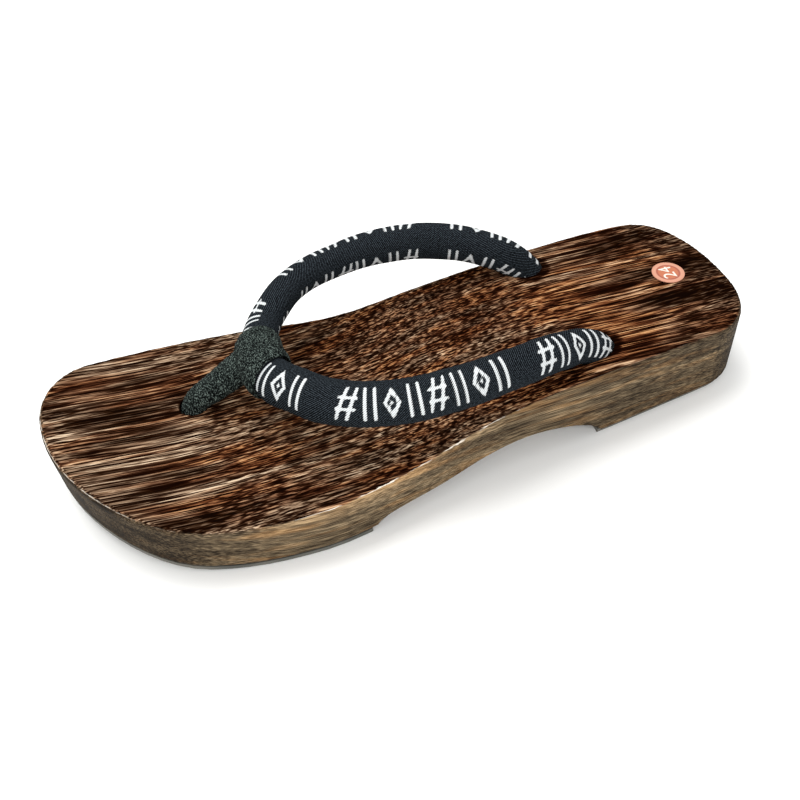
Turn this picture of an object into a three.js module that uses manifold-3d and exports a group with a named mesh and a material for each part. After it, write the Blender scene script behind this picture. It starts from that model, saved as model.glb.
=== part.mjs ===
// A left-foot wooden thong sandal: a carved, scorched deck on two rubber soles, with one padded strap
// bent to a U over the foot and held down between the toes by a thong.
// Millimetres. +X points to the toes, +Y to the outer side of the foot and +Z up.
// The origin is on the floor, under the middle of the sandal.

import * as THREE from 'three';
import { mergeVertices } from 'three/addons/utils/BufferGeometryUtils.js';
import Module from 'manifold-3d';

// Driving dimensions of the deck
const LENGTH = 250;
const SEAM = 0.3;
const SOLE_THICKNESS = 2.2;
const SOLE_INSET = { forefoot: 0.4, heel: 1.4 };
const SOLE_BEVEL = 0.5;
const SOLE_TONGUE = 2.4; // how far the heel sole reaches in front of the arch's back end
const WALL_TAPER = 1.5;
const TOP_EDGE_RADIUS = 1.5;
const BOTTOM_EDGE_BEVEL = 0.8;
const TOE_SPRING = 9;
const TOE_SPRING_START = 65;
const END_ROUNDING_POWER = 2.2;
const END_STATIONS = 52;

// The deck from heel to toe: place along the foot, outer edge, inner edge and height of the top surface.
const SECTIONS = [
  { x: -125, outer: 28.5, inner: -37.5, top: 28 },
  { x: -90, outer: 33.5, inner: -38.5, top: 30 },
  { x: -55, outer: 38, inner: -35.5, top: 31.3 },
  { x: -20, outer: 40.5, inner: -36, top: 27.8 },
  { x: 15, outer: 47.5, inner: -37.5, top: 22.8 },
  { x: 45, outer: 52, inner: -43.5, top: 21.5 },
  { x: 80, outer: 47.5, inner: -47, top: 21.5 },
  { x: 125, outer: 30.5, inner: -41.5, top: 27 },
];

// How each end is rounded off: the tip's place across the foot, and the length of the round on each side.
const HEEL_END = { tip: 4.5, outer: 19.5, inner: 21.5 };
const TOE_END = { tip: -16, outer: 42.5, inner: 21 };

// The carved arch under the waist, from the heel breast to the back of the forefoot sole.
const ARCH = [
  { x: -62, height: 1.2 },
  { x: -56, height: 7 },
  { x: -46, height: 11.2 },
  { x: -32, height: 13.2 },
  { x: -16, height: 11.6 },
  { x: 0, height: 8.6 },
  { x: 15, height: 7 },
  { x: 24, height: 5.2 },
  { x: 28.5, height: 1.2 },
];
const ARCH_STEP = 3;
const ARCH_HALF_WIDTH = 70;

// The axis that strap and thong are laid out on: it starts between the toes and runs to the heel.
const STRAP_AXIS = { x: 75, y: -9.5, turn: THREE.MathUtils.degToRad(3.5) };
const THONG_HOLE = { back: 1.2, out: -2, diameter: 9.4, floor: 9 };

// The strap's outer end lies this much further back than an even layout, and its inner end further forward.
const STRAP_END_SKEW = 4.5;

// The strap is flattened beside the thong, and its broad face leans outward by this much.
const STRAP_LEAN = THREE.MathUtils.degToRad(45);

// One half of the strap, from its bend at the thong to its end in the deck: distance back along the axis,
// distance out from it, height, and the size of the padded section.
const STRAP = [
  { back: 27, out: 0, height: 39.5, wide: 12.6, tall: 11.8 },
  { back: 29, out: 11, height: 38, wide: 15, tall: 11.5 },
  { back: 35.5, out: 21.5, height: 39.6, wide: 15.4, tall: 11.5 },
  { back: 45.5, out: 31.8, height: 40.8, wide: 15, tall: 11.5 },
  { back: 63, out: 39, height: 41.5, wide: 14.8, tall: 12 },
  { back: 83, out: 40.5, height: 42.5, wide: 14.4, tall: 13 },
  { back: 103, out: 37, height: 42, wide: 13.6, tall: 13.4 },
  { back: 121, out: 30.5, height: 38.5, wide: 12.8, tall: 12.8 },
  { back: 132, out: 25.8, height: 33, wide: 12, tall: 12 },
  { back: 137.5, out: 23.6, height: 25.5, wide: 11.5, tall: 11.5 },
  { back: 138.5, out: 23.2, height: 17, wide: 11.5, tall: 11.5 },
];
const STRAP_SIDES = 16;
const STEPS_PER_ROW = 4;

// The thong: its stem from the hole up to the strap, and the sleeve that wraps the strap's bend. The sleeve
// was pulled over further on the outer side.
const STEM = [
  { back: 1, out: -2, height: 11, wide: 8.5, tall: 8.5 },
  { back: 1, out: -2, height: 18.5, wide: 8.5, tall: 8.5 },
  { back: 3, out: -1.8, height: 23.5, wide: 9, tall: 8.5 },
  { back: 10, out: -1.2, height: 28.3, wide: 10.5, tall: 9.5 },
  { back: 18, out: -0.5, height: 34, wide: 12, tall: 10.5 },
  { back: 25.5, out: 0, height: 39, wide: 12, tall: 10.5 },
];
const SLEEVE_STEPS = { inner: 2, outer: 4 };
const SLEEVE_WALL = { middle: 2, edge: 1.3 };

const STICKER = { x: -105, y: -4.5, diameter: 12, thickness: 0.3, lift: 0.15, sides: 32 };

const COLOURS = { wood: 0x4a3020, rubber: 0x3d4140, strapCloth: 0x23272e, thongCloth: 0x1f2623, paper: 0xe07a52 };

const wasm = await Module();
wasm.setup();

// A smooth value between the rows of a table.
function smooth(rows, column, x) {
  const last = rows.length - 1;
  let i = 0;
  while (i < last - 1 && x > rows[i + 1].x) i += 1;
  const slope = (k) => {
    const before = rows[Math.max(k - 1, 0)];
    const after = rows[Math.min(k + 1, last)];
    return (after[column] - before[column]) / (after.x - before.x);
  };
  const run = rows[i + 1].x - rows[i].x;
  const u = (x - rows[i].x) / run;
  const v = 1 - u;
  return (1 + 2 * u) * v * v * rows[i][column] + u * v * v * run * slope(i)
    + u * u * (3 - 2 * u) * rows[i + 1][column] - u * u * v * run * slope(i + 1);
}

const topHeight = (x) => smooth(SECTIONS, 'top', x);

// The underside of the wood before the arch is carved: flat, and lifted at the toe.
function underHeight(x) {
  const toe = Math.max(0, (x - TOE_SPRING_START) / (LENGTH / 2 - TOE_SPRING_START));
  return SOLE_THICKNESS + TOE_SPRING * toe ** 2;
}

// One side of the outline at x, drawn in to the tip of the nearer end.
function edge(side, x) {
  const end = x > 0 ? TOE_END : HEEL_END;
  const u = Math.max(0, (Math.abs(x) - LENGTH / 2 + end[side]) / end[side]);
  const fullness = (1 - Math.min(u, 1) ** END_ROUNDING_POWER) ** (1 / END_ROUNDING_POWER);
  return end.tip + (smooth(SECTIONS, side, x) - end.tip) * fullness;
}

// The outline seen from above, anticlockwise: the inner side from heel to toe, then the outer side back.
function outline(inset) {
  const points = [];
  for (let k = 0; k < 2 * END_STATIONS; k += 1) {
    const side = k <= END_STATIONS ? 'inner' : 'outer';
    const x = -Math.cos(Math.PI * k / END_STATIONS) * LENGTH / 2;
    points.push(new THREE.Vector2(x, edge(side, x)));
  }
  const count = points.length;
  return points.map((point, k) => {
    const along = points[(k + 1) % count].clone().sub(points[(k + count - 1) % count]).normalize();
    return new THREE.Vector2(point.x - along.y * inset, point.y + along.x * inset);
  });
}

function geometryFrom(vertices, triangles) {
  const geometry = new THREE.BufferGeometry();
  geometry.setAttribute('position', new THREE.Float32BufferAttribute(vertices, 3));
  geometry.setIndex(triangles);
  return geometry;
}

// A closed skin over rings of the outline, lowest first. Each ring is an inset and a height over x.
function loft(rings) {
  const vertices = [];
  const triangles = [];
  const count = 2 * END_STATIONS;
  rings.forEach(({ inset, height }) => {
    outline(inset).forEach(({ x, y }) => vertices.push(x, y, height(x)));
  });
  for (let r = 0; r < rings.length - 1; r += 1) {
    for (let k = 0; k < count; k += 1) {
      const low = r * count + k;
      const lowNext = r * count + (k + 1) % count;
      triangles.push(low, lowNext, lowNext + count, low, lowNext + count, low + count);
    }
  }
  const cap = (first, up) => {
    const face = (a, b, c) => triangles.push(first + a, first + (up ? b : c), first + (up ? c : b));
    face(0, 1, count - 1);
    for (let k = 1; k < END_STATIONS - 1; k += 1) {
      face(k, k + 1, count - k - 1);
      face(k, count - k - 1, count - k);
    }
    face(END_STATIONS - 1, END_STATIONS, END_STATIONS + 1);
  };
  cap(0, false);
  cap((rings.length - 1) * count, true);
  return geometryFrom(vertices, triangles);
}

// A place in the strap's own layout, as a point of the sandal.
function strapPoint({ back, out, height }) {
  const skew = STRAP_END_SKEW * Math.sign(out) * (back / STRAP.at(-1).back) ** 3;
  const place = new THREE.Vector2(-back - skew, out).rotateAround(new THREE.Vector2(), -STRAP_AXIS.turn);
  return new THREE.Vector3(STRAP_AXIS.x + place.x, STRAP_AXIS.y + place.y, height);
}

// Evenly numbered stations along rows of a tube: place, direction and section.
function stationsAlong(rows) {
  const curve = new THREE.CatmullRomCurve3(rows.map(strapPoint));
  const steps = (rows.length - 1) * STEPS_PER_ROW;
  return Array.from({ length: steps + 1 }, (_, k) => {
    const row = Math.min(Math.floor(k / STEPS_PER_ROW), rows.length - 2);
    const u = k / STEPS_PER_ROW - row;
    return {
      centre: curve.getPoint(k / steps),
      along: curve.getTangent(k / steps),
      wide: THREE.MathUtils.lerp(rows[row].wide, rows[row + 1].wide, u),
      tall: THREE.MathUtils.lerp(rows[row].tall, rows[row + 1].tall, u),
    };
  });
}

// The cross directions at each station, carried without twist from the station where up is known.
function addFrames(stations, start, up) {
  const carry = (from, to, step) => {
    const previous = up.clone();
    for (let k = from; k !== to + step; k += step) {
      const { along } = stations[k];
      previous.addScaledVector(along, -previous.dot(along)).normalize();
      stations[k].up = previous.clone();
      stations[k].side = new THREE.Vector3().crossVectors(along, previous);
    }
  };
  carry(start, stations.length - 1, 1);
  carry(start, 0, -1);
  return stations;
}

// A closed tube over stations with oval sections, each grown by its own wall.
function tube(stations, wall) {
  const vertices = [];
  const triangles = [];
  const count = STRAP_SIDES;
  stations.forEach(({ centre, side, up, wide, tall }, k) => {
    for (let j = 0; j < count; j += 1) {
      const turn = 2 * Math.PI * j / count;
      const point = centre.clone()
        .addScaledVector(side, Math.cos(turn) * (wide / 2 + wall(k)))
        .addScaledVector(up, Math.sin(turn) * (tall / 2 + wall(k)));
      vertices.push(point.x, point.y, point.z);
    }
  });
  for (let k = 0; k < stations.length - 1; k += 1) {
    for (let j = 0; j < count; j += 1) {
      const a = k * count + j;
      const b = k * count + (j + 1) % count;
      triangles.push(a, b + count, b, a, a + count, b + count);
    }
  }
  const last = (stations.length - 1) * count;
  for (let j = 1; j < count - 1; j += 1) {
    triangles.push(0, j, j + 1, last, last + j + 1, last + j);
  }
  return geometryFrom(vertices, triangles);
}

// The same stations with both ends carried on by a little, so that a cut made with them runs deeper.
function lengthened(stations, distance) {
  const moved = stations.map((station) => ({ ...station, centre: station.centre.clone() }));
  moved[0].centre.addScaledVector(moved[0].along, -distance);
  moved.at(-1).centre.addScaledVector(moved.at(-1).along, distance);
  return moved;
}

function solid(geometry) {
  const bare = geometry.index ? geometry.toNonIndexed() : geometry.clone();
  bare.deleteAttribute('normal');
  bare.deleteAttribute('uv');
  const merged = mergeVertices(bare);
  return new wasm.Manifold(new wasm.Mesh({
    numProp: 3,
    vertProperties: merged.getAttribute('position').array,
    triVerts: Uint32Array.from(merged.index.array),
  }));
}

function geometryOf(body) {
  const { vertProperties, triVerts } = body.getMesh();
  return geometryFrom(Array.from(vertProperties), Array.from(triVerts));
}

// The strap as one row list from its inner end, over the bend, to its outer end.
const mirrored = STRAP.slice(1).reverse().map((row) => ({ ...row, out: -row.out }));
const strapStations = stationsAlong([...mirrored, ...STRAP]);
const bend = (strapStations.length - 1) / 2;
addFrames(strapStations, bend, new THREE.Vector3(Math.sin(STRAP_LEAN), 0, Math.cos(STRAP_LEAN)));
const stemStations = addFrames(stationsAlong(STEM), 0, new THREE.Vector3(1, 0, 0));

const strapGeometry = tube(strapStations, () => 0);
const strapRoom = solid(tube(lengthened(strapStations, SEAM), () => SEAM));
const stemRoom = solid(tube(stemStations, () => SEAM));

// The sleeve round the bend is thickest in the middle and thins to its two hems.
function sleeveGeometry() {
  const stations = strapStations.slice(bend - SLEEVE_STEPS.inner, bend + SLEEVE_STEPS.outer + 1);
  const isHem = (k) => k === 0 || k === stations.length - 1;
  return tube(stations, (k) => SEAM + (isHem(k) ? SLEEVE_WALL.edge : SLEEVE_WALL.middle));
}

function thongGeometry() {
  const stem = solid(tube(stemStations, () => 0));
  return geometryOf(solid(sleeveGeometry()).add(stem).subtract(strapRoom));
}

// The arch as a block along Y, as wide as the sandal and more.
function archBlock() {
  const first = ARCH[0].x;
  const last = ARCH.at(-1).x;
  const steps = Math.round((last - first) / ARCH_STEP);
  const profile = new THREE.Shape();
  profile.moveTo(first, -1);
  for (let k = 0; k <= steps; k += 1) {
    const x = THREE.MathUtils.lerp(first, last, k / steps);
    profile.lineTo(x, smooth(ARCH, 'height', x));
  }
  profile.lineTo(last, -1);
  const block = new THREE.ExtrudeGeometry(profile, { depth: 2 * ARCH_HALF_WIDTH, bevelEnabled: false });
  block.rotateX(Math.PI / 2).translate(0, ARCH_HALF_WIDTH, 0);
  return solid(block);
}

function thongHole() {
  const mouth = strapPoint({ ...THONG_HOLE, height: 0 });
  const depth = topHeight(mouth.x) + 1 - THONG_HOLE.floor;
  const radius = THONG_HOLE.diameter / 2;
  const drill = new THREE.CylinderGeometry(radius, radius, depth, 24);
  drill.rotateX(Math.PI / 2).translate(mouth.x, mouth.y, THONG_HOLE.floor + depth / 2);
  return solid(drill);
}

function deckGeometry() {
  const halfTurn = TOP_EDGE_RADIUS * (1 - Math.SQRT1_2);
  const blank = solid(loft([
    { inset: WALL_TAPER + BOTTOM_EDGE_BEVEL, height: underHeight },
    { inset: WALL_TAPER, height: (x) => underHeight(x) + BOTTOM_EDGE_BEVEL },
    { inset: 0, height: (x) => topHeight(x) - TOP_EDGE_RADIUS },
    { inset: halfTurn, height: (x) => topHeight(x) - halfTurn },
    { inset: TOP_EDGE_RADIUS, height: topHeight },
  ]));
  const carved = blank.subtract(archBlock());
  return geometryOf(carved.subtract(thongHole()).subtract(stemRoom).subtract(strapRoom));
}

// A stretch of the rubber sheet that follows the underside from one x to another, set back from the wall.
function soleGeometry(from, to, setBack) {
  const inset = WALL_TAPER + setBack;
  const sheet = solid(loft([
    { inset: inset + SOLE_BEVEL, height: (x) => underHeight(x) - SOLE_THICKNESS },
    { inset, height: (x) => underHeight(x) - SOLE_THICKNESS + SOLE_BEVEL },
    { inset, height: (x) => underHeight(x) - SEAM },
  ]));
  const block = new THREE.BoxGeometry(to - from, LENGTH, LENGTH);
  block.translate((from + to) / 2, 0, 0);
  return geometryOf(sheet.intersect(solid(block)));
}

// A paper disc that lies along the top of the heel.
function stickerGeometry() {
  const vertices = [];
  const triangles = [];
  const { sides } = STICKER;
  const place = (radius, turn, height) => {
    const x = STICKER.x + radius * Math.cos(turn);
    vertices.push(x, STICKER.y + radius * Math.sin(turn), topHeight(x) + height);
  };
  [STICKER.lift, STICKER.lift + STICKER.thickness].forEach((height) => {
    for (let k = 0; k < sides; k += 1) place(STICKER.diameter / 2, 2 * Math.PI * k / sides, height);
    place(0, 0, height);
  });
  const upper = sides + 1;
  for (let k = 0; k < sides; k += 1) {
    const next = (k + 1) % sides;
    triangles.push(k, next, next + upper, k, next + upper, k + upper);
    triangles.push(sides, next, k, sides + upper, k + upper, next + upper);
  }
  return geometryFrom(vertices, triangles);
}

const sandal = new THREE.Group();

function addPiece(name, geometry, color, roughness) {
  const mesh = new THREE.Mesh(geometry, new THREE.MeshStandardMaterial({ color, roughness, metalness: 0 }));
  mesh.name = name;
  sandal.add(mesh);
}

addPiece('deck', deckGeometry(), COLOURS.wood, 0.45);
addPiece('forefoot_sole', soleGeometry(ARCH.at(-1).x, LENGTH / 2, SOLE_INSET.forefoot), COLOURS.rubber, 0.8);
addPiece('heel_sole', soleGeometry(-LENGTH / 2, ARCH[0].x + SOLE_TONGUE, SOLE_INSET.heel), COLOURS.rubber, 0.8);
addPiece('straps', strapGeometry, COLOURS.strapCloth, 0.9);
addPiece('toe_thong', thongGeometry(), COLOURS.thongCloth, 0.95);
addPiece('size_sticker', stickerGeometry(), COLOURS.paper, 0.5);

export default sandal;
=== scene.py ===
# %% [markdown]
# # A scorched wooden thong sandal
#
# The sandal is a low wooden deck on two rubber soles, with one padded cloth strap bent to a U and a
# thong between the toes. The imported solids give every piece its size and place. This lesson dresses
# them: the deck gets its brushed grain, the strap its weave, and each surface its own material.
# Lengths in the tables below are millimetres, and Blender's own unit is the metre.

# %% Load the fixed frame and note its box
import math

import bpy
from mathutils import Matrix, Vector, noise


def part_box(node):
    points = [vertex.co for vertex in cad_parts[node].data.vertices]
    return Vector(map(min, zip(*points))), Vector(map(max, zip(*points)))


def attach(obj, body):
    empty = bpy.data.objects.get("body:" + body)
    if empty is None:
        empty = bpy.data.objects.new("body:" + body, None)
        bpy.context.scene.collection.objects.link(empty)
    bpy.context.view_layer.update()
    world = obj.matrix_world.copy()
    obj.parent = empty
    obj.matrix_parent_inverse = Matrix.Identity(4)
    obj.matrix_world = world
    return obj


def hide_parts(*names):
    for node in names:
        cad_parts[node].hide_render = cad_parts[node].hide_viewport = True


MM = 0.001

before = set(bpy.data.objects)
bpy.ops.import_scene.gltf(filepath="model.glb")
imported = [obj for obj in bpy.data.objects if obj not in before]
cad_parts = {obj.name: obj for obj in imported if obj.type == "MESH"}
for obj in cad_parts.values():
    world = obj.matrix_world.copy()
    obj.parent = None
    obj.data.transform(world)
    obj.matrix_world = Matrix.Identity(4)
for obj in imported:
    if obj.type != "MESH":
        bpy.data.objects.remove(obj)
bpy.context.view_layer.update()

# %% [markdown]
# ## Small helpers
#
# Operators act on whatever is selected, so each step starts by deselecting everything. A copy of a
# solid starts as loose triangles: its doubles are merged before anything else, so that neighbouring
# faces share their corners and can be shaded smoothly.

# %% Selecting and copying
MERGE_REACH = 0.005
FLAT_ANGLE = math.radians(0.15)


def select_only(piece):
    """Selects one piece and nothing else, and makes it the active one."""
    bpy.ops.object.select_all(action="DESELECT")
    piece.select_set(True)
    bpy.context.view_layer.objects.active = piece


def merged_copy(node, name):
    """A copy of a solid that is free to be modelled, with its doubles merged."""
    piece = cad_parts[node].copy()
    piece.data = piece.data.copy()
    piece.name = name
    piece.parent = None
    for key in list(piece.keys()):
        del piece[key]
    bpy.context.scene.collection.objects.link(piece)
    select_only(piece)
    bpy.ops.mesh.customdata_custom_splitnormals_clear()
    bpy.ops.object.mode_set(mode="EDIT")
    bpy.ops.mesh.select_all(action="SELECT")
    bpy.ops.mesh.remove_doubles(threshold=MERGE_REACH * MM)
    bpy.ops.mesh.dissolve_limited(angle_limit=FLAT_ANGLE)
    bpy.ops.object.mode_set(mode="OBJECT")
    return piece


def finish_piece(piece, material, slot, *nodes):
    """Gives a piece its material and ties it to the frame."""
    piece.data.materials.clear()
    piece.data.materials.append(material)
    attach(piece, "root")
    if nodes:
        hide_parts(*nodes)
    print(piece.name, len(piece.data.vertices), "vertices", len(piece.data.polygons), "faces")


# %% [markdown]
# Materials are built from nodes. One function adds a node, sets it and links it, and one turns a
# colour as a screen shows it, an sRGB hex value, into the linear numbers that Blender works with.

# %% Colours and nodes


def colour(hexadecimal):
    """A linear colour from an sRGB value such as "8a6a45"."""
    parts = [int(hexadecimal[i:i + 2], 16) / 255 for i in (0, 2, 4)]
    linear = [p / 12.92 if p <= 0.04045 else ((p + 0.055) / 1.055) ** 2.4 for p in parts]
    return (*linear, 1.0)


def add_node(tree, kind, settings=None, links=None):
    """Adds a node. A link's value is a number, a colour, a socket, or a node for its first output."""
    made = tree.nodes.new("ShaderNode" + kind)
    for name, value in (settings or {}).items():
        if name == "stops":
            ramp = made.color_ramp
            while len(ramp.elements) < len(value):
                ramp.elements.new(1.0)
            for element, (position, shade) in zip(ramp.elements, value):
                element.position = position
                element.color = colour(shade)
        else:
            setattr(made, name, value)
    for key, value in (links or {}).items():
        if isinstance(value, bpy.types.Node):
            value = value.outputs[0]
        if isinstance(value, bpy.types.NodeSocket):
            tree.links.new(value, made.inputs[key])
        else:
            made.inputs[key].default_value = value
    return made


def new_material(name):
    """A material with its node tree and its surface shader."""
    material = bpy.data.materials.new(name)
    material.use_nodes = True
    tree = material.node_tree
    return material, tree, tree.nodes["Principled BSDF"]


def per_metre(*sizes):
    """Texture scale for features of these sizes in millimetres along X, Y and Z."""
    return tuple(1 / (size * MM) for size in sizes)


# %% [markdown]
# ## Camera
#
# The camera stands at the outer side of the foot, a little in front of the ball, and looks down at
# about 44 degrees. It is rolled slightly, so its up direction is given and not taken from the world.

# %% Set the camera
CAMERA_PLACE = Vector((83.7, 292.0, 305.0)) * MM
CAMERA_AIM = Vector((5.0, 10.0, 18.0)) * MM
CAMERA_UP = Vector((-0.2427, -0.5696, 0.7852))
LENS_MM = 53.0

bpy.ops.object.camera_add(location=CAMERA_PLACE)
camera = bpy.context.object
forward = (CAMERA_AIM - CAMERA_PLACE).normalized()
right = forward.cross(CAMERA_UP).normalized()
turned = Matrix((right, right.cross(forward), -forward)).transposed()
camera.rotation_euler = turned.to_euler()
camera.data.lens = LENS_MM
bpy.context.scene.camera = camera
print("camera to aim", round((CAMERA_AIM - CAMERA_PLACE).length, 3), "m")

# %% [markdown]
# ## Floor and light
#
# A pale floor and large soft lights, as in a plain product picture. The key light hangs above the far
# side, so that the strap's shadow falls towards the camera, and other panels fill the near wall and the
# toe. One small lamp behind the camera draws the thin highlight along the lacquered edge, and a pale line
# is painted into the wood's colour there as a painted highlight as well.

# %% Make the floor
FLOOR_SIZE = 8.0

# Matt white paint gives no gleam, so nothing shows on the floor but a soft grey shadow
floor_paint, tree, surface = new_material("matt_white_floor_paint")
surface.inputs["Base Color"].default_value = colour("f6f6f4")
surface.inputs["Roughness"].default_value = 0.9
bpy.ops.mesh.primitive_plane_add(size=FLOOR_SIZE)
floor = bpy.context.object
floor.name = "floor"
floor.data.materials.append(floor_paint)

# %% Hang the lights
SKY_STRENGTH = 0.75
LIGHTS = {
    "key_panel": {"place": (0.15, -0.45, 1.0), "size": 0.9, "watts": 13.0},
    "near_fill_panel": {"place": (0.3, 1.1, 0.55), "size": 1.2, "watts": 9.0},
    "toe_fill_panel": {"place": (1.0, 0.0, 0.7), "size": 0.8, "watts": 1.5},
    "edge_lamp": {"place": (-0.05, 0.62, 0.62), "size": 0.1, "watts": 0.7},
}
for name, light in LIGHTS.items():
    bpy.ops.object.light_add(type="AREA", location=light["place"])
    panel = bpy.context.object
    panel.name = name
    panel.data.size = light["size"]
    panel.data.energy = light["watts"]
    panel.rotation_euler = (-Vector(light["place"])).to_track_quat("-Z", "Y").to_euler()

world = bpy.data.worlds.new("white_studio")
world.use_nodes = True
world.node_tree.nodes["Background"].inputs["Color"].default_value = colour("ffffff")
world.node_tree.nodes["Background"].inputs["Strength"].default_value = SKY_STRENGTH
bpy.context.scene.world = world
bpy.context.scene.view_settings.view_transform = "Standard"

# %% [markdown]
# ## The wood
#
# The deck is light wood that was scorched, brushed and lacquered. Fire blackens the soft wood most,
# and the brush wears it away, so dark furrows run between harder strands of tan and red brown, and the
# wood's long pores stay behind as thin black lines. All of it is a solid pattern in the block: strands
# and pores run along the foot and are about as thin in height as in width, so level cuts show long
# lines, and the sloping waist shows the same lines cut short, as dashes.
#
# The mesh carries what the material needs at each point: "grain" is the point's place in the block with
# the fibres laid straight, "ridge" is 0 in a furrow and 1 on a ridge, "top" is 1 on the brushed top and
# 0 on the sanded wall, "rim" is 1 along the rounded edge between them, where a thin pale highlight is
# painted into the colour, the burn value says how long the flame stayed and on the upper wall also holds
# a painted band of light, and "amber" how red the lacquer glows there.

# %% Scorched, brushed and lacquered wood


def scorched_wood():
    """Tan and black lines on top, a sanded grey-brown wall, and a painted pale highlight along the rounded
    edge.
    """
    material, tree, surface = new_material("scorched_brushed_lacquered_paulownia")
    block = add_node(tree, "Attribute", {"attribute_name": "grain"}).outputs["Vector"]
    ridge, top, rim, burn, amber = [
        add_node(tree, "Attribute", {"attribute_name": name}).outputs["Fac"]
        for name in ("ridge", "top", "rim", "burn", "amber")]

    def stretched(sizes):
        """The place in the block, scaled so that one unit is one feature long, wide or high."""
        return add_node(tree, "Mapping", {}, {"Vector": block, "Scale": per_metre(*sizes)})

    def grain(sizes, detail, low, high):
        """Noise stretched along the fibres, with its middle values pulled apart to clear lines."""
        cloud = add_node(tree, "TexNoise", {}, {"Vector": stretched(sizes), "Scale": 1.0, "Detail": detail})
        return add_node(tree, "MapRange", {}, {"Value": cloud, "From Min": low, "From Max": high})

    def blend(*weighted):
        """The sum of values, each times its weight."""
        total = 0.0
        for value, weight in weighted:
            total = add_node(tree, "Math", {"operation": "MULTIPLY_ADD"}, {0: value, 1: weight, 2: total})
        return total

    def cores(sizes, low, high):
        """Long cells, with the distance from each cell's core mapped to 0 at low and 1 at high."""
        cell = add_node(tree, "TexVoronoi", {}, {"Vector": stretched(sizes), "Scale": 1.0})
        distance = cell.outputs["Distance"]
        return add_node(tree, "MapRange", {}, {"Value": distance, "From Min": low, "From Max": high})

    # Brushed top: strands of hard wood, and among them the wood's long pores, burnt to thin black lines
    strands = cores((32, 0.54, 0.54), 0.68, 0.38)
    pores = cores((24, 0.8, 0.6), 0.29, 0.43)
    fibres = grain((7, 0.34, 0.3), 1.0, 0.44, 0.56)
    rings = grain((70, 2.4, 2.4), 1.0, 0.34, 0.66)
    tone = blend((strands, 0.42), (ridge, 0.1), (fibres, 0.22), (rings, 0.2), (burn, -1.0))
    unburnt = add_node(tree, "MapRange", {}, {"Value": tone, "From Min": 0.06, "From Max": 0.88})
    left = add_node(tree, "MapRange", {}, {"Value": pores, "To Min": 0.06, "To Max": 1.0})
    tone_top = add_node(tree, "Math", {"operation": "MULTIPLY"}, {0: unburnt, 1: left})
    # The palest stops are the hard strands' tan and partly painted highlights, standing in for the
    # lacquer's glints on the ridges
    tan_wood = add_node(tree, "ValToRGB", {"stops": [
        (0.0, "0b0402"), (0.16, "180802"), (0.32, "2a190d"), (0.46, "3f2d21"), (0.58, "574435"),
        (0.7, "755e4a"), (0.86, "927a63"), (1.0, "c4ad92")]}, {"Fac": tone_top})
    russet_wood = add_node(tree, "ValToRGB", {"stops": [
        (0.0, "0b0301"), (0.16, "180602"), (0.32, "291309"), (0.46, "3f2010"), (0.58, "5b331c"),
        (0.7, "7b4e30"), (0.86, "9b6d45"), (1.0, "c29468")]}, {"Fac": tone_top})
    hue = grain((40, 5, 5), 2.0, 0.4, 0.66)
    hue_share = add_node(tree, "Math", {"operation": "ADD", "use_clamp": True}, {0: hue, 1: amber})
    top_colour = add_node(tree, "MixRGB", {}, {"Fac": hue_share, "Color1": tan_wood, "Color2": russet_wood})

    # Sanded wall: only lightly singed, grey olive with fine streaks and tan patches
    # Its grey cast is partly a painted reflection of the white room in the lacquer
    streaks = grain((11, 0.5, 0.22), 2.0, 0.36, 0.64)
    clouds = grain((34, 10, 3.0), 2.0, 0.32, 0.68)
    tone_wall = blend((streaks, 0.6), (clouds, 0.4), (burn, -1.0))
    olive = add_node(tree, "ValToRGB", {"stops": [
        (0.0, "1b150e"), (0.2, "32281c"), (0.4, "4d4132"), (0.55, "5f523f"),
        (0.75, "7e6c53"), (1.0, "a89272")]}, {"Fac": tone_wall})
    tan = add_node(tree, "ValToRGB", {"stops": [
        (0.0, "20160e"), (0.2, "3b2a1a"), (0.4, "59432c"), (0.55, "6c5338"),
        (0.75, "8a6c4a"), (1.0, "b29168")]}, {"Fac": tone_wall})
    tan_cloud = grain((30, 9, 3), 2.0, 0.48, 0.66)
    tan_share = add_node(tree, "Math", {"operation": "MULTIPLY_ADD", "use_clamp": True},
                         {0: burn, 1: -2.0, 2: tan_cloud})
    wall_colour = add_node(tree, "MixRGB", {}, {"Fac": tan_share, "Color1": olive, "Color2": tan})

    # Painted highlight: a thin pale line along the rounded edge, broken into dashes by a noise
    highlight_breaks = grain((7, 4, 4), 1.0, 0.38, 0.5)
    thin_rim = add_node(tree, "MapRange", {}, {"Value": rim, "From Min": 0.4, "From Max": 0.7})
    painted_highlight_and_gloss = add_node(tree, "Math", {"operation": "MULTIPLY"}, {0: thin_rim, 1: highlight_breaks})
    body_colour = add_node(tree, "MixRGB", {}, {"Fac": top, "Color1": wall_colour, "Color2": top_colour})
    painted_highlight_share = add_node(tree, "Math", {"operation": "MULTIPLY"}, {0: painted_highlight_and_gloss, 1: 0.95})
    painted_highlight_colour = colour("e4dacb")
    colours = add_node(tree, "MixRGB", {}, {"Fac": painted_highlight_share, "Color1": body_colour, "Color2": painted_highlight_colour})
    tree.links.new(colours.outputs[0], surface.inputs["Base Color"])

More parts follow.
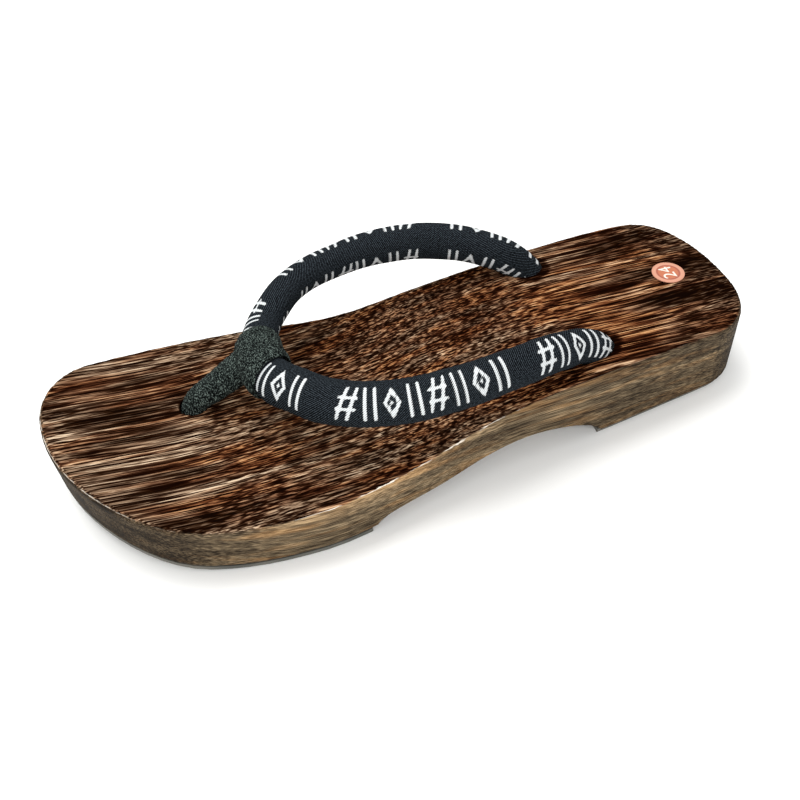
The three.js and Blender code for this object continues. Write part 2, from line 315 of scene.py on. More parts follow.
    # Lacquer shines on the rounded edge under the painted highlight, lies thin on the wall and sinks into
    # the brushed top
    rough = add_node(tree, "MapRange", {}, {"Value": top, "To Min": 0.5, "To Max": 0.7})
    tree.links.new(rough.outputs[0], surface.inputs["Roughness"])
    lacquer = add_node(tree, "MapRange", {}, {"Value": top, "To Min": 0.12, "To Max": 0.0})
    shine = add_node(tree, "Math", {"operation": "MAXIMUM"}, {0: lacquer, 1: painted_highlight_and_gloss})
    tree.links.new(shine.outputs[0], surface.inputs["Coat Weight"])
    relief_top = blend((strands, 0.8), (fibres, 0.4))
    relief = add_node(tree, "MixRGB", {}, {"Fac": top, "Color1": streaks, "Color2": relief_top})
    bump = add_node(tree, "Bump", {}, {"Height": relief, "Strength": 0.5, "Distance": 0.12 * MM})
    tree.links.new(bump.outputs[0], surface.inputs["Normal"])
    surface.inputs["Specular IOR Level"].default_value = 0.0
    surface.inputs["Coat Roughness"].default_value = 0.25
    return material


wood = scorched_wood()

# %% [markdown]
# ## The deck
#
# The deck keeps the solid's shape. Its skin is cut by many close planes into a fine net, narrow across
# the grain and longer along it, and then furrows are pressed in where the brush took the soft wood
# away. The underside isn't brushed, so it is hidden from the cuts.

# %% Cut the deck's skin into a net
CUT_ALONG = 2.2
CUT_ACROSS = 0.3
CUT_UP = 1.4
# The first plane lies this share of a step in, so that planes seldom run along the solid's own edges
CUT_START = 0.63
CUT_REACH = 0.002
# A face whose normal points down further than this belongs to the underside
UNDERSIDE = -0.4


def cut_into_net(piece, spacing):
    """Cuts the unhidden faces by planes across X, Y and Z, each at its own spacing in millimetres."""
    low = [min(v.co[axis] for v in piece.data.vertices) for axis in range(3)]
    high = [max(v.co[axis] for v in piece.data.vertices) for axis in range(3)]
    for axis in range(3):
        normal = [0.0, 0.0, 0.0]
        normal[axis] = 1.0
        count = int((high[axis] - low[axis]) / (spacing[axis] * MM))
        for k in range(1, count + 1):
            plane = [0.0, 0.0, 0.0]
            plane[axis] = low[axis] + (k - 1 + CUT_START) * spacing[axis] * MM
            bpy.ops.mesh.select_all(action="SELECT")
            bpy.ops.mesh.bisect(plane_co=plane, plane_no=normal, threshold=CUT_REACH * MM)


deck = merged_copy("deck", "wooden_deck")
bpy.ops.object.mode_set(mode="EDIT")
bpy.ops.mesh.select_all(action="DESELECT")
bpy.ops.object.mode_set(mode="OBJECT")
for face in deck.data.polygons:
    face.select = face.normal.z < UNDERSIDE
bpy.ops.object.mode_set(mode="EDIT")
bpy.ops.mesh.select_mode(type="FACE")
bpy.ops.mesh.hide(unselected=False)
cut_into_net(deck, (CUT_ALONG, CUT_ACROSS, CUT_UP))
bpy.ops.mesh.reveal(select=False)
bpy.ops.object.mode_set(mode="OBJECT")
print("deck net", len(deck.data.polygons), "faces")

# %% [markdown]
# Where the flame stayed and where the brush bit deepest differs from deck to deck. The table lists the
# patches that show on this one: each lies along the grain, with its middle, its length and width, how
# much it darkens (or, below zero, lightens) the wood, and how amber it glows.

# %% Chart the scorched patches
SCORCHED = [
    {"x": 97, "y": -14, "length": 40, "width": 8, "burn": 0.30, "amber": -0.3},
    {"x": 116, "y": -8, "length": 20, "width": 5, "burn": -0.16, "amber": -0.2},
    {"x": 109, "y": -1, "length": 16, "width": 7, "burn": 0.16, "amber": 0.0},
    {"x": 92, "y": 9, "length": 50, "width": 4, "burn": -0.16, "amber": -0.2},
    {"x": 87, "y": 15, "length": 30, "width": 3, "burn": 0.30, "amber": 0.0},
    {"x": 84, "y": 24, "length": 50, "width": 5, "burn": 0.22, "amber": 0.0},
    {"x": 79, "y": 28, "length": 44, "width": 2.4, "burn": -0.42, "amber": -0.8},
    {"x": 86, "y": 33, "length": 26, "width": 4, "burn": -0.02, "amber": 0.9},
    {"x": 82, "y": 42, "length": 44, "width": 8, "burn": 0.22, "amber": 0.0},
    {"x": 60, "y": -3, "length": 26, "width": 14, "burn": -0.08, "amber": 0.6},
    {"x": 60, "y": 21, "length": 26, "width": 10, "burn": -0.02, "amber": 0.9},
    {"x": 17, "y": -20, "length": 36, "width": 16, "burn": 0.08, "amber": 0.2},
    {"x": -30, "y": -30, "length": 40, "width": 8, "burn": 0.14, "amber": 0.0},
    {"x": -73, "y": -31, "length": 22, "width": 8, "burn": -0.12, "amber": -0.2},
    {"x": -88, "y": -24, "length": 18, "width": 7, "burn": 0.16, "amber": -0.3},
    {"x": -95, "y": -17, "length": 60, "width": 3, "burn": -0.20, "amber": -0.2},
    {"x": -114, "y": -9, "length": 24, "width": 6, "burn": 0.34, "amber": -0.6},
    {"x": -90, "y": -6, "length": 30, "width": 8, "burn": 0.18, "amber": 0.0},
    {"x": -104, "y": 2, "length": 34, "width": 2.6, "burn": -0.16, "amber": -0.3},
    {"x": -104, "y": 9, "length": 30, "width": 9, "burn": 0.38, "amber": -0.6},
    {"x": -106, "y": 16, "length": 40, "width": 4, "burn": -0.12, "amber": -0.3},
    {"x": -70, "y": 12, "length": 26, "width": 12, "burn": 0.02, "amber": 0.9},
    {"x": -77, "y": 23, "length": 22, "width": 10, "burn": -0.08, "amber": 0.9},
    {"x": -96, "y": 33, "length": 60, "width": 4, "burn": 0.30, "amber": 0.0},
    {"x": -75, "y": 5, "length": 60, "width": 90, "burn": 0.0, "amber": 0.35},
    {"x": -122, "y": 0, "length": 26, "width": 120, "burn": 0.14, "amber": -0.4},
    {"x": 95, "y": 0, "length": 80, "width": 120, "burn": 0.0, "amber": -0.2},
    {"x": -45, "y": 33, "length": 34, "width": 8, "burn": 0.02, "amber": 0.9},
    {"x": -56, "y": -5, "length": 24, "width": 16, "burn": -0.06, "amber": 0.6},
    {"x": -92, "y": -30, "length": 40, "width": 16, "burn": 0.26, "amber": 0.0},
    {"x": -110, "y": 5, "length": 36, "width": 60, "burn": 0.06, "amber": 0.0},
    {"x": 62, "y": 40, "length": 40, "width": 12, "burn": 0.1, "amber": 0.0},
    {"x": -5, "y": 0, "length": 70, "width": 120, "burn": 0.0, "amber": 0.15},
    {"x": -24, "y": -11, "length": 46, "width": 24, "burn": 0.1, "amber": -0.1},
    {"x": 98, "y": -30, "length": 60, "width": 26, "burn": 0.1, "amber": 0.0},
    {"x": 78.6, "y": -12.5, "length": 2.4, "width": 2, "burn": -0.4, "amber": -0.6},
]


def scorch_at(point, column):
    """Sum of the patches at a point, for one column: the burn or the amber."""
    total = 0.0
    for patch in SCORCHED:
        reach = ((point.x / MM - patch["x"]) / patch["length"]) ** 2
        reach += ((point.y / MM - patch["y"]) / patch["width"]) ** 2
        total += patch[column] * math.exp(-4 * reach)
    return total


# %% [markdown]
# The fibres aren't quite straight. The block was sawn a little across them, they sway, and towards the
# toe and the heel they rise and fall with the deck, so the lines at the toe are long and the steep waist
# cuts them shortest. `grain_place` takes tilt, sway and rise out again, and what it gives is the point's
# place in a block with straight fibres.
#
# The wall was only singed. It is darkest where it faces the toe and the heel, on the end grain. The upper
# wall beside the ball of the foot is paler in a soft band below the edge: painted light, standing in for
# the light on a rounder shoulder there. The three holes are darker in and round their mouths.
#
# Top, rim and wall are told apart by how far a point faces up, from 1 for level to 0 for upright.

# %% Set the sizes of grain, wear and furrows
SWAY_LENGTH = 80.0
SWAY_WIDTH = 26.0
SWAY = 3.2
FIBRE_TILT = 0.05
TOE_BEND = {"start": 42.0, "run": 83.0, "rise": 5.5}
HEEL_BEND = {"start": -50.0, "run": -75.0, "rise": -4.0}
RIDGE_LENGTH = 48.0
RIDGE_WIDTH = 0.6
RIDGE_CONTRAST = 1.7
END_GRAIN_DARKENING = 0.5
# A painted band of light on the upper wall beside the ball: its middle, its length, how far down it fades,
# and how much it pales the wall
PAINTED_LIGHT_BAND = {"x": 24.0, "length": 44.0, "drop": 9.0, "burn": -0.42}
# Stretches of the rounded edge where a pale highlight is painted: middle, length and strength
PAINTED_EDGE_HIGHLIGHT = [{"x": 12.0, "length": 46.0, "share": 1.0}, {"x": 122.0, "length": 30.0, "share": 0.58}]
PAINTED_EDGE_HIGHLIGHT_ELSEWHERE = 0.45
HOLES = [
    {"x": 73.7, "y": -11.4, "radius": 5.0},
    {"x": -64.5, "y": 22.9, "radius": 7.2},
    {"x": -58.4, "y": -24.6, "radius": 7.2},
]
HOLE_DARKENING = 0.4
HEEL_WALL = {"burn": 0.05, "run": 50.0}
END_GRAIN_FACING = (0.05, 0.9)
TOP_FACING = (0.35, 0.85)
RIM_FACING = (0.3, 0.7, 0.75, 0.97)
FURROW_FACING = -0.3
FURROW_TOP = 0.2
FURROW_WALL = 0.04
STRIP = 4.0
DECK_SHARP_EDGE = math.radians(40)

# %% Grain, burn and wear at a point


def grain_place(point):
    """A point's place in the block with its fibres laid straight, in metres."""
    x, y, z = point / MM
    sway_place = Vector((x / SWAY_LENGTH, y / SWAY_WIDTH, z / SWAY_WIDTH))
    y += SWAY * noise.noise(sway_place)
    z += SWAY / 2 * noise.noise(-sway_place)
    z -= FIBRE_TILT * x
    for bend in (TOE_BEND, HEEL_BEND):
        z -= bend["rise"] * max(0.0, (x - bend["start"]) / bend["run"]) ** 2
    return Vector((x, y, z)) * MM


def ridge_at(straight):
    """0 in a furrow, 1 on a ridge, at a place in the block with straight fibres."""
    x, y, z = straight / MM
    value = noise.noise(Vector((x / RIDGE_LENGTH, y / RIDGE_WIDTH, z / RIDGE_WIDTH)))
    return min(1.0, max(0.0, 0.5 + RIDGE_CONTRAST * value))


def ramp(value, low, high):
    """0 at low and below, 1 at high and above."""
    return min(1.0, max(0.0, (value - low) / (high - low)))


def in_hole(point):
    """Whether a point lies in one of the three holes."""
    x, y, z = point / MM
    return any(math.hypot(x - hole["x"], y - hole["y"]) < hole["radius"] for hole in HOLES)


def wall_burn_and_painted_light(vertex, below):
    """How much the wall is darkened, from its facing and its place along the foot, less a painted band of
    light that pales its upper part, from how far below the top edge it lies.
    """
    # Painted light: a soft pale band on the upper wall beside the ball
    light_band = math.exp(-((vertex.co.x / MM - PAINTED_LIGHT_BAND["x"]) / PAINTED_LIGHT_BAND["length"]) ** 2)
    light_band *= 1 - ramp(below, 0.0, PAINTED_LIGHT_BAND["drop"])
    heel = HEEL_WALL["burn"] * ramp(-vertex.co.x / MM, 0.0, HEEL_WALL["run"])
    end_grain = END_GRAIN_DARKENING * ramp(abs(vertex.normal.x), *END_GRAIN_FACING)
    return end_grain + heel + PAINTED_LIGHT_BAND["burn"] * light_band


def painted_edge_highlight_at(point):
    """How strong the painted highlight on the edge is here: most beside the waist and at the toe."""
    best = PAINTED_EDGE_HIGHLIGHT_ELSEWHERE
    for edge in PAINTED_EDGE_HIGHLIGHT:
        best = max(best, edge["share"] * math.exp(-((point.x / MM - edge["x"]) / edge["length"]) ** 4))
    return best


# %% Press the brushed furrows into the deck
top_heights = {}
for vertex in deck.data.vertices:
    strip = int(vertex.co.x / MM // STRIP)
    top_heights[strip] = max(top_heights.get(strip, 0.0), vertex.co.z / MM)

layers = {name: [] for name in ("ridge", "top", "rim", "burn", "amber")}
straightened = []
moves = []
for vertex in deck.data.vertices:
    facing_up = vertex.normal.z
    straight = grain_place(vertex.co)
    ridge = ridge_at(straight)
    hollow = in_hole(vertex.co)
    top = 1.0 if hollow else ramp(facing_up, *TOP_FACING)
    depth = FURROW_WALL + (FURROW_TOP - FURROW_WALL) * top if facing_up > FURROW_FACING else 0.0
    below = top_heights[int(vertex.co.x / MM // STRIP)] - vertex.co.z / MM
    top_burn = scorch_at(vertex.co, "burn") + HOLE_DARKENING * hollow
    rim = min(ramp(facing_up, *RIM_FACING[:2]), 1 - ramp(facing_up, *RIM_FACING[2:]))
    straightened.extend(straight)
    layers["ridge"].append(ridge)
    layers["top"].append(top)
    layers["rim"].append(0.0 if hollow else rim * painted_edge_highlight_at(vertex.co))
    layers["burn"].append(top_burn * top + wall_burn_and_painted_light(vertex, below) * (1 - top))
    layers["amber"].append(scorch_at(vertex.co, "amber"))
    moves.append(vertex.co - vertex.normal * depth * (1 - ridge) * MM)
for vertex, place in zip(deck.data.vertices, moves):
    vertex.co = place
for name, values in layers.items():
    deck.data.attributes.new(name, "FLOAT", "POINT").data.foreach_set("value", values)
deck.data.attributes.new("grain", "FLOAT_VECTOR", "POINT").data.foreach_set("vector", straightened)
select_only(deck)
bpy.ops.object.shade_smooth_by_angle(angle=DECK_SHARP_EDGE)
finish_piece(deck, wood, "scorched_wood", "deck")

# %% [markdown]
# ## The rubber soles
#
# Two plain sheets of moulded rubber under forefoot and heel. Rubber is dull, a little grey where dust
# clings, and faintly pebbled by its mould.

# %% Moulded sole rubber


def sole_rubber():
    """Dull grey black, paler where dust clings, with the mould's fine grit."""
    material, tree, surface = new_material("moulded_sole_rubber")
    place = add_node(tree, "TexCoord").outputs["Object"]
    grit_size = add_node(tree, "Mapping", {}, {"Vector": place, "Scale": per_metre(0.9, 0.9, 0.9)})
    grit = add_node(tree, "TexNoise", {}, {"Vector": grit_size, "Scale": 1.0, "Detail": 2.0})
    dust_size = add_node(tree, "Mapping", {}, {"Vector": place, "Scale": per_metre(14, 14, 6)})
    dust = add_node(tree, "TexNoise", {}, {"Vector": dust_size, "Scale": 1.0, "Detail": 3.0})
    shade = add_node(tree, "ValToRGB", {"stops": [(0.3, "444540"), (0.7, "625f57")]}, {"Fac": dust})
    tree.links.new(shade.outputs[0], surface.inputs["Base Color"])
    bump = add_node(tree, "Bump", {}, {"Height": grit, "Strength": 0.3, "Distance": 0.2 * MM})
    tree.links.new(bump.outputs[0], surface.inputs["Normal"])
    surface.inputs["Roughness"].default_value = 0.62
    return material


rubber = sole_rubber()

# %% Make the two soles
SHARP_EDGE = math.radians(30)

for node in ("forefoot_sole", "heel_sole"):
    sole = merged_copy(node, node.replace("_sole", "_rubber_sole"))
    bpy.ops.object.shade_smooth_by_angle(angle=SHARP_EDGE)
    finish_piece(sole, rubber, "sole_rubber", node)

# %% [markdown]
# ## The padded strap
#
# The strap is a cloth tube stuffed with wadding. A curve with a round bevel gives the tube at once, and
# made into a mesh it has rings of points in a known order. Each point then gets two numbers, how far
# along the strap and how far round it lies, so that the weave can follow the cloth.
#
# Each row of the route lies on both sides of the axis from the toes to the heel: how far back along it,
# how far out from it, how high, and how wide and tall the tube is there.

# %% Lay the strap's route
STRAP_AXIS = Vector((75.0, -9.5, 0.0))
STRAP_TURN = math.radians(-3.5)
STRAP_END_SKEW = 4.5
STRAP_ROWS = [
    {"back": 27.0, "out": 0.0, "height": 39.5, "wide": 12.6, "tall": 11.8},
    {"back": 29.0, "out": 11.0, "height": 38.0, "wide": 15.0, "tall": 11.5},
    {"back": 35.5, "out": 21.5, "height": 39.6, "wide": 15.4, "tall": 11.5},
    {"back": 45.5, "out": 31.8, "height": 40.8, "wide": 15.0, "tall": 11.5},
    {"back": 63.0, "out": 39.0, "height": 41.5, "wide": 14.8, "tall": 12.0},
    {"back": 83.0, "out": 40.5, "height": 42.5, "wide": 14.4, "tall": 13.0},
    {"back": 103.0, "out": 37.0, "height": 42.0, "wide": 13.6, "tall": 13.4},
    {"back": 121.0, "out": 30.5, "height": 38.5, "wide": 12.8, "tall": 12.8},
    {"back": 132.0, "out": 25.8, "height": 33.0, "wide": 12.0, "tall": 12.0},
    {"back": 137.5, "out": 23.6, "height": 25.5, "wide": 11.5, "tall": 11.5},
    {"back": 138.5, "out": 23.2, "height": 17.0, "wide": 11.5, "tall": 11.5},
]
STRAP_THICK = 14.0
STRAP_LEAN = math.radians(45)


def strap_point(row, side):
    """A row of the route as a point of the sandal, on the outer side (1) or the inner side (-1)."""
    skew = STRAP_END_SKEW * side * (row["back"] / STRAP_ROWS[-1]["back"]) ** 3
    flat = Vector((-row["back"] - skew, row["out"] * side, 0.0))
    flat.rotate(Matrix.Rotation(STRAP_TURN, 3, "Z"))
    return (STRAP_AXIS + flat + Vector((0.0, 0.0, row["height"]))) * MM


route = [(strap_point(row, -1), row["wide"], row["tall"]) for row in reversed(STRAP_ROWS[1:])]
route += [(strap_point(row, 1), row["wide"], row["tall"]) for row in STRAP_ROWS]

# %% Sweep the strap and make it a mesh
RINGS_PER_ROW = 24
STRAP_BEVEL = 30

bpy.ops.object.select_all(action="DESELECT")
bpy.ops.curve.primitive_bezier_curve_add()
strap = bpy.context.object
strap.name = "padded_strap"
bend = strap.data.splines[0]
bend.bezier_points.add(len(route) - 2)
for point, (place, wide, tall) in zip(bend.bezier_points, route):
    point.co = place
    point.handle_left_type = "AUTO"
    point.handle_right_type = "AUTO"
    point.radius = (wide + tall) / 2 / STRAP_THICK
strap.data.dimensions = "3D"
strap.data.twist_mode = "MINIMUM"
strap.data.resolution_u = RINGS_PER_ROW
strap.data.bevel_depth = STRAP_THICK / 2 * MM
strap.data.bevel_resolution = STRAP_BEVEL
bpy.ops.object.convert(target="MESH")
strap_sides = 2 * STRAP_BEVEL + 4  # a bevel of this resolution makes so many sides
strap_rings = len(strap.data.vertices) // strap_sides
print("strap mesh", strap_rings, "rings of", strap_sides)

# %% Measure along and round the strap
TWILL = 0.6
# A whole number of ribs goes round the strap, so that the weave meets at its seam
TWILL_ROUND = 51
ROUND_MM = TWILL_ROUND * TWILL * math.sqrt(2)

points = [vertex.co.copy() for vertex in strap.data.vertices]
rings = [points[k * strap_sides:(k + 1) * strap_sides] for k in range(strap_rings)]
centres = [sum(ring, Vector()) / strap_sides for ring in rings]
along = [0.0]
for before, after in zip(centres, centres[1:]):
    along.append(along[-1] + (after - before).length / MM)
middle = min(range(strap_rings), key=lambda k: (centres[k] - route[len(STRAP_ROWS) - 1][0]).length)
along = [value - along[middle] for value in along]
forward = (centres[middle + 1] - centres[middle - 1]).normalized()
outward = forward.cross(Vector((0.0, 0.0, 1.0))).normalized()


def bend_turn(side):
    """How far a point of the middle ring is turned from straight up towards the outside, in radians."""
    reach = rings[middle][side] - centres[middle]
    return math.atan2(reach.dot(outward), reach.z)


first_turn = bend_turn(0)
turn_step = 2 * math.pi / strap_sides
if (bend_turn(1) - first_turn + math.pi) % (2 * math.pi) < math.pi:
    turn_step = -turn_step
turns = [first_turn + turn_step * side for side in range(strap_sides)]
weave = strap.data.uv_layers.new(name="weave")
for face in strap.data.polygons:
    sides = [index % strap_sides for index in face.vertices]
    crosses_seam = max(sides) - min(sides) > 1
    for loop, index, side in zip(face.loop_indices, face.vertices, sides):
        steps = strap_sides if side == 0 and crosses_seam else side
        weave.data[loop].uv = (along[index // strap_sides] * MM, steps / strap_sides * ROUND_MM * MM)
print("strap length", round(along[-1] - along[0], 1), "mm, bend at ring", middle)

# %% [markdown]
# The tube isn't round. Beside the thong it is flattened, and its broad face leans outward, so the near
# side shows it broad and the far side narrow. Each ring is drawn to the oval of its place on the route.

# %% Flatten the strap beside the thong


def oval_reach(k, turn):
    """From a ring's centre to its oval, in millimetres, at a turn from straight up towards the outside."""
    row = k * (len(route) - 1) / (strap_rings - 1)
    before = route[math.floor(row)]
    after = route[math.ceil(row)]
    share = row - math.floor(row)
    wide = before[1] + (after[1] - before[1]) * share
    tall = before[2] + (after[2] - before[2]) * share
    return 0.5 / math.hypot(math.cos(turn - STRAP_LEAN) / tall, math.sin(turn - STRAP_LEAN) / wide)


for k in range(strap_rings):
    for side in range(strap_sides):
        spoke = (rings[k][side] - centres[k]).normalized()
        rings[k][side] = centres[k] + spoke * oval_reach(k, turns[side]) * MM
print("strap flattened to", round(min(tall / wide for place, wide, tall in route), 2), "of its width")

# %% [markdown]
# A tube stuffed this tight hardly creases. It swells beside the thong's grip, where the wadding is pushed
# aside, has long shallow dents where hands pressed it, and folds softly where its ends turn down into
# the deck. Each row of the table is one ridge or, below zero, one trough: its place along the strap from
# the bend, its turn round the strap in degrees, its reach both ways and its height.

# %% Press the strap's soft creases
CREASES = [
    {"along": 16, "turn": 50, "length": 4, "reach": 90, "height": 0.45},
    {"along": 24, "turn": 70, "length": 5, "reach": 50, "height": -0.4},
    {"along": 34, "turn": 95, "length": 7, "reach": 45, "height": 0.35},
    {"along": 62, "turn": 35, "length": 13, "reach": 40, "height": -0.6},
    {"along": 92, "turn": 60, "length": 14, "reach": 45, "height": -0.65},
    {"along": 114, "turn": 30, "length": 7, "reach": 60, "height": 0.5},
    {"along": 128, "turn": 110, "length": 3.5, "reach": 55, "height": -0.5},
    {"along": 135, "turn": 80, "length": 3.5, "reach": 60, "height": 0.4},
    {"along": 142, "turn": 120, "length": 3, "reach": 60, "height": -0.5},
    {"along": -10, "turn": -40, "length": 3.5, "reach": 90, "height": 0.45},
    {"along": -17, "turn": -20, "length": 4.5, "reach": 50, "height": -0.4},
    {"along": -55, "turn": -35, "length": 16, "reach": 40, "height": -0.45},
    {"along": -90, "turn": -60, "length": 14, "reach": 45, "height": -0.4},
    {"along": -121, "turn": -30, "length": 5, "reach": 60, "height": 0.4},
    {"along": -130, "turn": -90, "length": 3.5, "reach": 60, "height": -0.5},
    {"along": -138, "turn": -60, "length": 3.5, "reach": 60, "height": 0.35},
]


def crease_height(distance, turn):
    """Sum of the creases at a place on the strap, in millimetres."""
    total = 0.0
    for crease in CREASES:
        off = (math.degrees(turn) - crease["turn"] + 180) % 360 - 180
        reach = ((distance - crease["along"]) / crease["length"]) ** 2 + (off / crease["reach"]) ** 2
        total += crease["height"] * math.exp(-reach)
    return total


heights = []
for k in range(strap_rings):
    for side in range(strap_sides):
        height = crease_height(along[k], turns[side])
        spoke = (rings[k][side] - centres[k]).normalized()
        strap.data.vertices[k * strap_sides + side].co = rings[k][side] + spoke * height * MM
        heights.append(height)
print("creases from", round(min(heights), 2), "to", round(max(heights), 2), "mm")

# %% [markdown]
# Two rows of white marks are woven into the strap. They are old household patterns of cotton weaving:
# a well curb, a lozenge and a pair of bars, in groups with a plain gap between. Each point of the mesh
# gets its distance from the nearest stroke's edge, and the material draws the stroke from that.

# %% Chart the woven marks
MARK_ROWS = (math.radians(46), math.radians(230))
MARK_STROKE = 1.1
MARK_HALF_HEIGHT = 6.5
BAR_FROM_MIDDLE = 1.5
LOZENGE = {"half_width": 2.9, "outline": 0.78, "core": 0.2, "slope": 2.55}
WELL = {"lean": 0.22, "upright": 1.55, "level": 2.3, "half_width": 3.4}
NO_MARK = -2.0
MARK_PITCH = 6.9
MARK_GROUP = ("well", "bars", "lozenge", "bars", "well", "bars", "lozenge", "bars")
GROUP_PITCH = 65.0
GROUP_START = -24.2


def mark_depth(kind, a, c):
    """How far inside a stroke a place lies, a along and c across from the mark's middle, in millimetres."""
    half = MARK_STROKE / 2
    if kind == "bars":
        return min(half - abs(abs(a) - BAR_FROM_MIDDLE), MARK_HALF_HEIGHT - abs(c))
    if kind == "lozenge":
        reach = abs(a) / LOZENGE["half_width"] + abs(c) / MARK_HALF_HEIGHT
        outline = half - abs(reach - LOZENGE["outline"]) * LOZENGE["slope"]
        return max(outline, (LOZENGE["core"] - reach) * LOZENGE["slope"])
    lean = a + WELL["lean"] * c
    upright = min(half - abs(abs(lean) - WELL["upright"]), MARK_HALF_HEIGHT - abs(c))
    level = min(half - abs(abs(c) - WELL["level"]), WELL["half_width"] - abs(lean))
    return max(upright, level)


def woven_mark(distance, turn):
    """The deepest stroke at a place on the strap."""
    in_group = (distance - GROUP_START) % GROUP_PITCH
    number = min(int(in_group / MARK_PITCH), len(MARK_GROUP) - 1)
    a = in_group - (number + 0.5) * MARK_PITCH
    best = NO_MARK
    for row in MARK_ROWS:
        c = ((turn - row + math.pi) % (2 * math.pi) - math.pi) * STRAP_THICK / 2
        best = max(best, mark_depth(MARK_GROUP[number], a, c))
    return best


marks = [woven_mark(along[k], turn) for k in range(strap_rings) for turn in turns]
mark_layer = strap.data.attributes.new("mark", "FLOAT", "POINT")
mark_layer.data.foreach_set("value", marks)
print("marked points", sum(depth > 0 for depth in marks), "of", len(marks))

# %% [markdown]
# The strap's cloth is a cotton twill: fine slanting ribs in charcoal blue, dull and slightly fuzzy. The
# marks are floats of white yarn, so their edges step with the ribs.

# %% Charcoal twill with woven marks


def charcoal_twill():
    """Fine slanting ribs that are nearly black between, with stepped strokes of white yarn."""
    material, tree, surface = new_material("charcoal_cotton_twill_with_woven_marks")
    uv = add_node(tree, "UVMap", {"uv_map": "weave"})
    xy = add_node(tree, "SeparateXYZ", {}, {0: uv})
    slant = add_node(tree, "Math", {"operation": "ADD"}, {0: xy.outputs["X"], 1: xy.outputs["Y"]})
    phase = add_node(tree, "Math", {"operation": "MULTIPLY"},
                     {0: slant, 1: 2 * math.pi / (TWILL * math.sqrt(2) * MM)})
    ribs = add_node(tree, "Math", {"operation": "SINE"}, {0: phase})
    yarn_size = add_node(tree, "Mapping", {}, {"Vector": uv, "Scale": per_metre(0.5, 0.5, 1)})
    yarn = add_node(tree, "TexNoise", {}, {"Vector": yarn_size, "Scale": 1.0, "Detail": 2.0})
    shade = add_node(tree, "Math", {"operation": "MULTIPLY_ADD"}, {0: ribs, 1: 0.26, 2: yarn})
    ground = add_node(tree, "ValToRGB", {"stops": [(0.2, "000000"), (0.5, "07090b"), (0.85, "3e454b")]},
                      {"Fac": shade})
    depth = add_node(tree, "Attribute", {"attribute_name": "mark"}).outputs["Fac"]
    stepped = add_node(tree, "Math", {"operation": "MULTIPLY_ADD"}, {0: ribs, 1: 0.1, 2: depth})
    white = add_node(tree, "MapRange", {}, {"Value": stepped, "From Min": -0.05, "From Max": 0.12})
    float_shade = add_node(tree, "ValToRGB", {"stops": [(0.2, "a2a7aa"), (0.6, "cdd0d0")]}, {"Fac": shade})
    mixed = add_node(tree, "MixRGB", {}, {"Fac": white, "Color1": ground, "Color2": float_shade})
    tree.links.new(mixed.outputs[0], surface.inputs["Base Color"])
    height = add_node(tree, "Math", {"operation": "MULTIPLY_ADD"}, {0: white, 1: 0.7, 2: shade})
    bump = add_node(tree, "Bump", {}, {"Height": height, "Strength": 0.5, "Distance": 0.15 * MM})
    tree.links.new(bump.outputs[0], surface.inputs["Normal"])
    surface.inputs["Roughness"].default_value = 0.9
    surface.inputs["Specular IOR Level"].default_value = 0.0
    surface.inputs["Sheen Weight"].default_value = 0.006
    surface.inputs["Sheen Roughness"].default_value = 0.5
    return material


# %% Close the strap's ends and finish it
select_only(strap)
bpy.ops.object.mode_set(mode="EDIT")
bpy.ops.mesh.select_all(action="SELECT")
bpy.ops.mesh.fill_holes(sides=0)
bpy.ops.object.mode_set(mode="OBJECT")
bpy.ops.object.shade_smooth()
finish_piece(strap, charcoal_twill(), "strap_cloth", "straps")

# %% [markdown]
# ## The thong
#
# A soft cord of crinkled cloth comes out of the hole between the toes and loops over the strap's bend.
# The solid gives its form. A voxel remesh turns it into an even net that is fine enough to hold real
# crinkles, which are then pushed in and out of the surface by a noise. The cloth is a crepe, nearly
# black with a green cast, and the raised loops of its threads catch a little light.

# %% Crinkle the thong
THONG_VOXEL = 0.45
CRINKLE_SIZE = 0.95
CRINKLE_DEPTH = 0.2
SHOULDER_PASSES = 14

thong = merged_copy("toe_thong", "crinkled_toe_thong")
remesh = thong.modifiers.new("even_net", "REMESH")
remesh.mode = "VOXEL"
remesh.voxel_size = THONG_VOXEL * MM
bpy.ops.object.modifier_apply(modifier=remesh.name)
soften = thong.modifiers.new("soft_shoulders", "SMOOTH")
soften.factor = 0.5
soften.iterations = SHOULDER_PASSES
bpy.ops.object.modifier_apply(modifier=soften.name)
crinkled = []
for vertex in thong.data.vertices:
    place = vertex.co / (CRINKLE_SIZE * MM)
    crinkled.append(vertex.co + vertex.normal * noise.noise(place) * CRINKLE_DEPTH * MM)
for vertex, place in zip(thong.data.vertices, crinkled):
    vertex.co = place
bpy.ops.object.shade_smooth()
print("thong net", len(thong.data.vertices), "points, voxel", THONG_VOXEL, "mm")

# %% Crinkled black-green cloth


def crinkled_cloth():
    """Dull black with grey-green flecks, and no gleam."""
    material, tree, surface = new_material("crinkled_black_green_crepe")
    place = add_node(tree, "TexCoord").outputs["Object"]
    fleck_size = add_node(tree, "Mapping", {}, {"Vector": place, "Scale": per_metre(0.35, 0.35, 0.8)})
    flecks = add_node(tree, "TexNoise", {}, {"Vector": fleck_size, "Scale": 1.0, "Detail": 2.0})
    shade = add_node(tree, "ValToRGB", {"stops": [(0.42, "010202"), (0.53, "101515"), (0.66, "616d67")]},
                     {"Fac": flecks})
    tree.links.new(shade.outputs[0], surface.inputs["Base Color"])
    bump = add_node(tree, "Bump", {}, {"Height": flecks, "Strength": 0.7, "Distance": 0.25 * MM})
    tree.links.new(bump.outputs[0], surface.inputs["Normal"])
    surface.inputs["Roughness"].default_value = 0.92
    surface.inputs["Specular IOR Level"].default_value = 0.04
    return material


finish_piece(thong, crinkled_cloth(), "thong_cloth", "toe_thong")

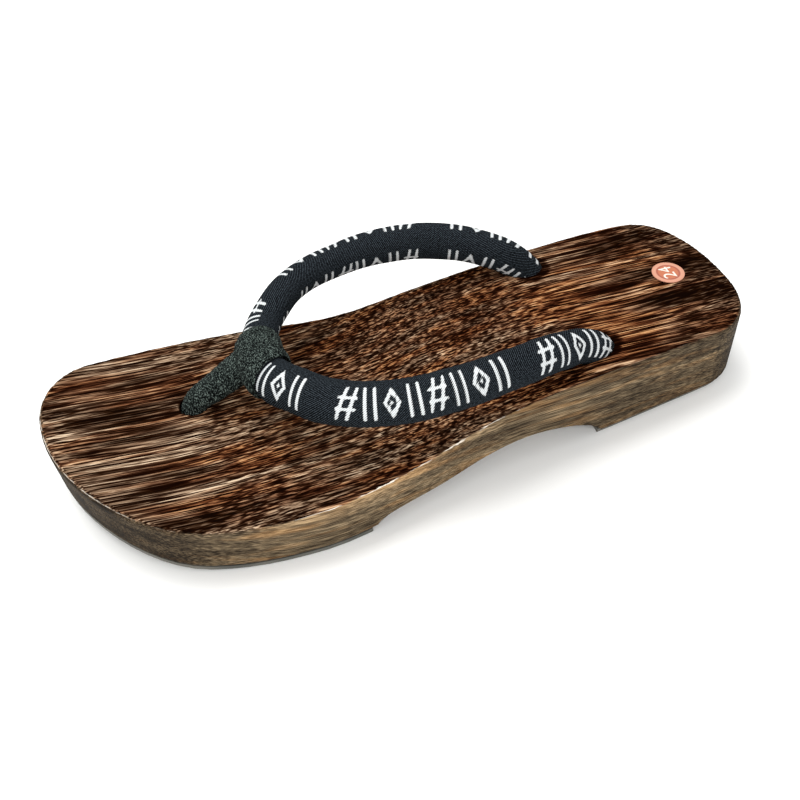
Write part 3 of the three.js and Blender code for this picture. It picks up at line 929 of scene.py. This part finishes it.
# %% [markdown]
# ## The size sticker
#
# A round paper sticker on the heel, printed in orange with a paler rim and a plain size in centimetres.
# The number is text made into a mesh and projected onto the sticker, so that it lies on the slope.

# %% Printed paper
STICKER_RADIUS = 6.0


def printed_paper(centre):
    """Orange print with a dark ring and a paler rim, under a thin clear film."""
    material, tree, surface = new_material("printed_sticker_paper")
    place = add_node(tree, "TexCoord").outputs["Object"]
    middle = add_node(tree, "Mapping", {}, {"Vector": place, "Location": (-centre.x, -centre.y, 0.0)})
    flat = add_node(tree, "VectorMath", {"operation": "MULTIPLY"}, {0: middle, 1: (1 / MM, 1 / MM, 0.0)})
    radius = add_node(tree, "VectorMath", {"operation": "LENGTH"}, {0: flat})
    share = add_node(tree, "Math", {"operation": "DIVIDE"}, {0: radius.outputs["Value"], 1: STICKER_RADIUS})
    printed = add_node(tree, "ValToRGB", {"stops": [
        (0.0, "ac623f"), (0.6, "a95e3c"), (0.66, "8f4632"), (0.71, "8f4632"),
        (0.77, "bd866d"), (1.0, "b87f66")]}, {"Fac": share})
    tree.links.new(printed.outputs[0], surface.inputs["Base Color"])
    surface.inputs["Roughness"].default_value = 0.45
    surface.inputs["Coat Weight"].default_value = 0.2
    return material


sticker_low, sticker_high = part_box("size_sticker")
sticker_centre = (sticker_low + sticker_high) / 2
sticker = merged_copy("size_sticker", "size_sticker_disc")
bpy.ops.object.shade_smooth_by_angle(angle=SHARP_EDGE)
finish_piece(sticker, printed_paper(sticker_centre), "sticker_paper", "size_sticker")

# %% Print the number
NUMBER = "24"
NUMBER_HEIGHT = 7.0
NUMBER_FILM = 0.03
NUMBER_LIFT = 3.0
NUMBER_TURN = math.radians(-90)

bpy.ops.object.text_add()
number = bpy.context.object
number.name = "size_sticker_number"
number.data.body = NUMBER
number.data.size = NUMBER_HEIGHT * MM
number.data.align_x = "CENTER"
number.data.align_y = "CENTER"
bpy.ops.object.convert(target="MESH")
number.location = sticker_centre + Vector((0.0, 0.0, NUMBER_LIFT * MM))
number.rotation_euler = (0.0, 0.0, NUMBER_TURN)
select_only(number)
bpy.ops.object.transform_apply(location=True, rotation=True, scale=True)
wrap = number.modifiers.new("onto_the_sticker", "SHRINKWRAP")
wrap.target = sticker
wrap.wrap_method = "PROJECT"
wrap.use_project_z = True
wrap.use_negative_direction = True
wrap.use_positive_direction = False
wrap.offset = NUMBER_FILM * MM
bpy.ops.object.modifier_apply(modifier=wrap.name)
film = number.modifiers.new("ink_film", "SOLIDIFY")
film.thickness = NUMBER_FILM / 2 * MM
bpy.ops.object.modifier_apply(modifier=film.name)
# Printing ink: a flat, pale film with the paper's own dull shine
white_ink, tree, surface = new_material("white_printing_ink")
surface.inputs["Base Color"].default_value = colour("d6cfc4")
surface.inputs["Roughness"].default_value = 0.45
finish_piece(number, white_ink, "sticker_paper")
